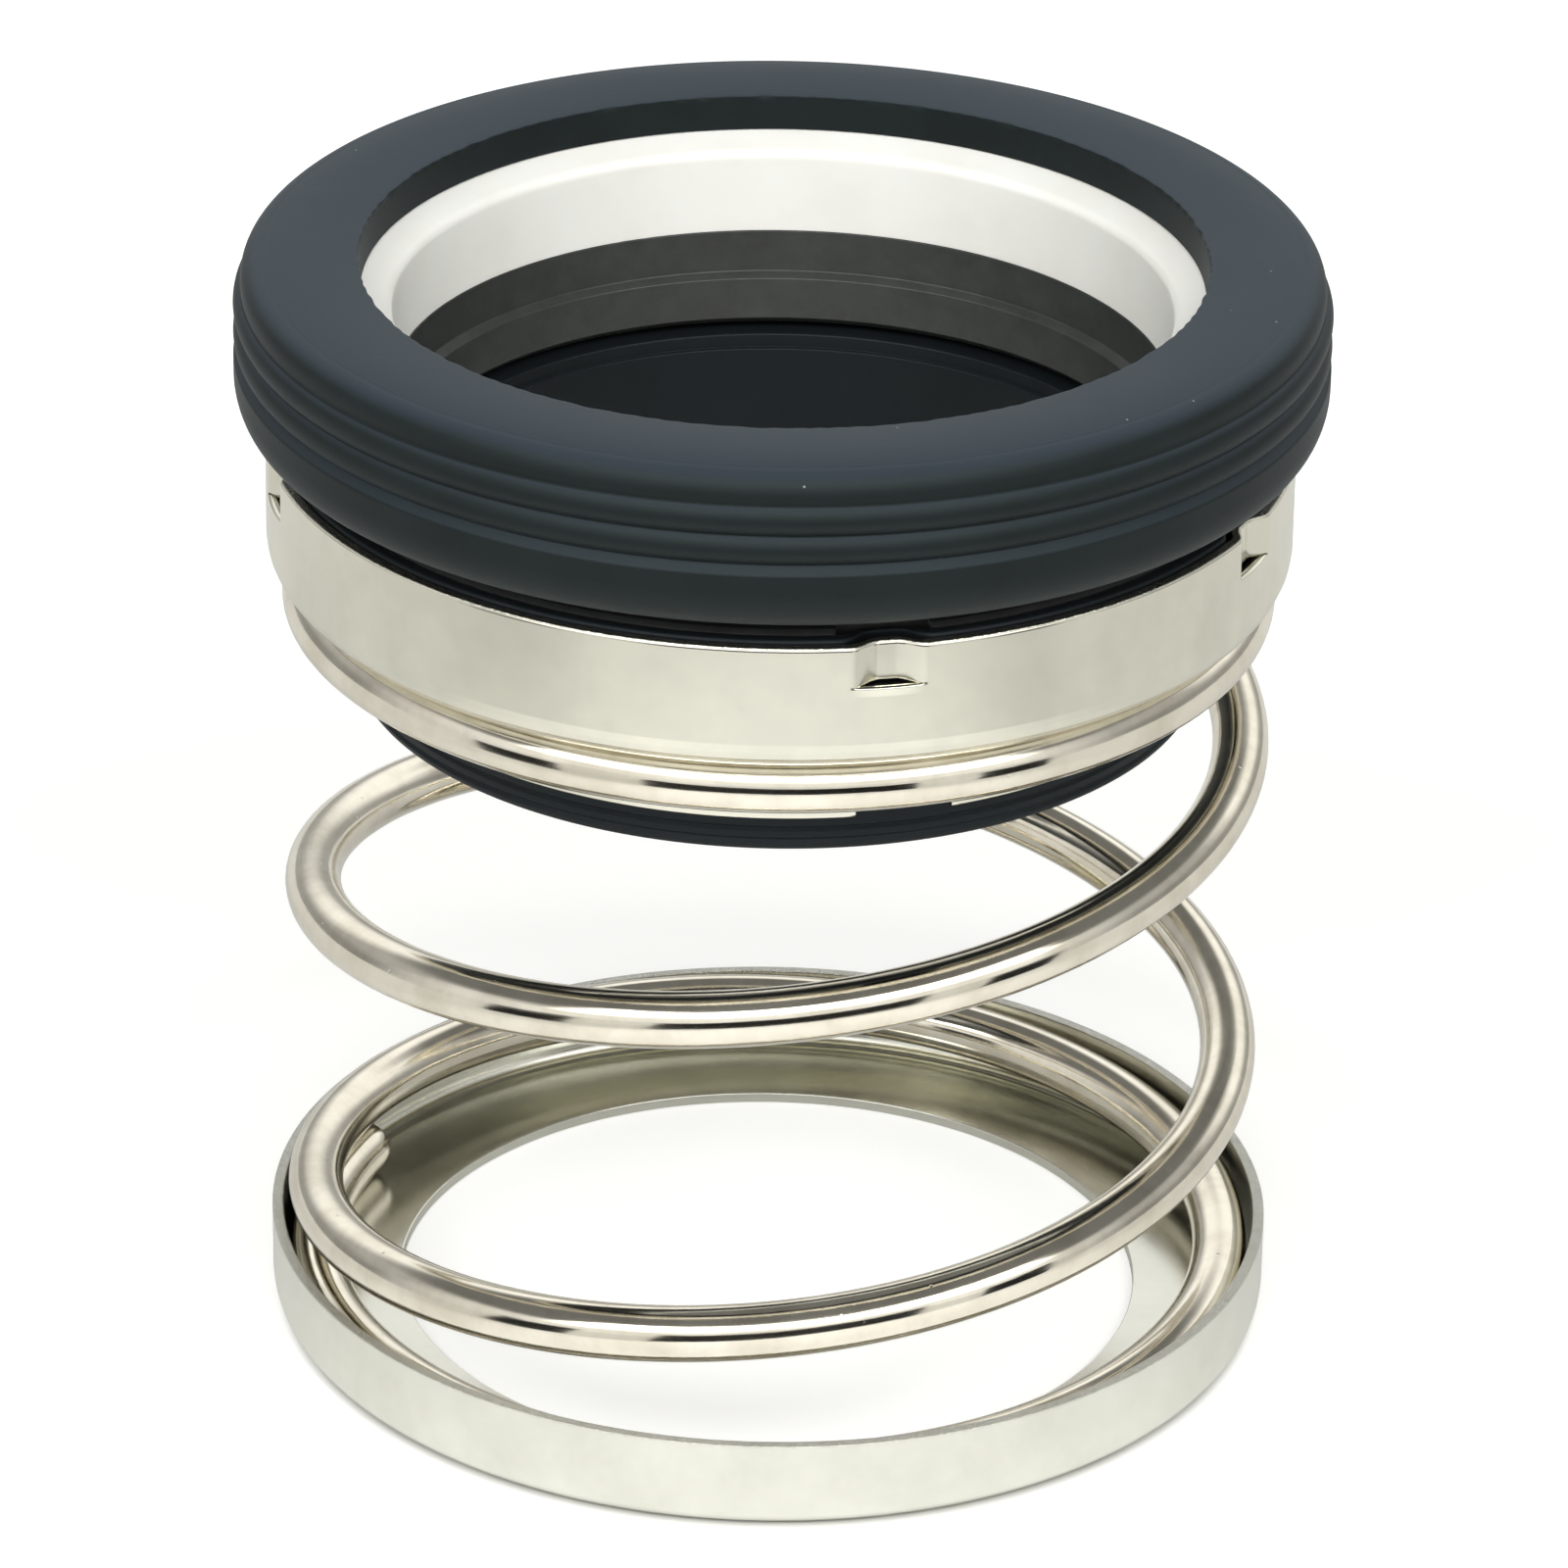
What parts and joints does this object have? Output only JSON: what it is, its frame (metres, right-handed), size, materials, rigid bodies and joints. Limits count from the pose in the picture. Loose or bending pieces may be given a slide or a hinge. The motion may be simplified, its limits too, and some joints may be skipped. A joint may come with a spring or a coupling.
{
  "type": "mechanical shaft seal",
  "caption": "Rotary shaft seal: rubber-cupped ceramic seat on a carbon ring, held by a rubber bellows and sheet-metal retainer over a large open coil spring standing in its holder.",
  "frame": {"origin": "centre of the spring holder's underside, where the seal stands", "axes": "+Z along the shaft, from the spring holder up to the seat cup"},
  "size_m": [0.075, 0.075, 0.08],
  "materials": {
    "stamped_steel": "stamped stainless sheet, fine drawing marks",
    "spring_wire": "bright drawn stainless wire",
    "bellows_rubber": "moulded black rubber",
    "cup_rubber": "moulded black rubber with a dusty bloom",
    "carbon": "turned carbon graphite, lapped face",
    "alumina": "ground white alumina"
  },
  "bodies": {
    "holder": {"spring_holder": "stamped_steel", "coil_spring": "spring_wire"},
    "head": {"retainer_shell": "stamped_steel", "drive_band": "stamped_steel", "bellows": "bellows_rubber", "primary_ring": "carbon"},
    "seat": {"seat_ring": "alumina", "seat_cup": "cup_rubber"}
  },
  "joints": [
    {"name": "head_travel", "type": "slide", "parent": "holder", "child": "head", "axis": [0, 0, -1], "range_m": [0, 0.036], "stiffness_N_per_m": 4200, "springref_m": -0.002, "deforming": ["coil_spring"]},
    {"name": "seat_spin", "type": "hinge", "parent": "head", "child": "seat", "pos_m": [0, 0, 0.07035], "axis": [0, 0, 1], "continuous": true}
  ]
}
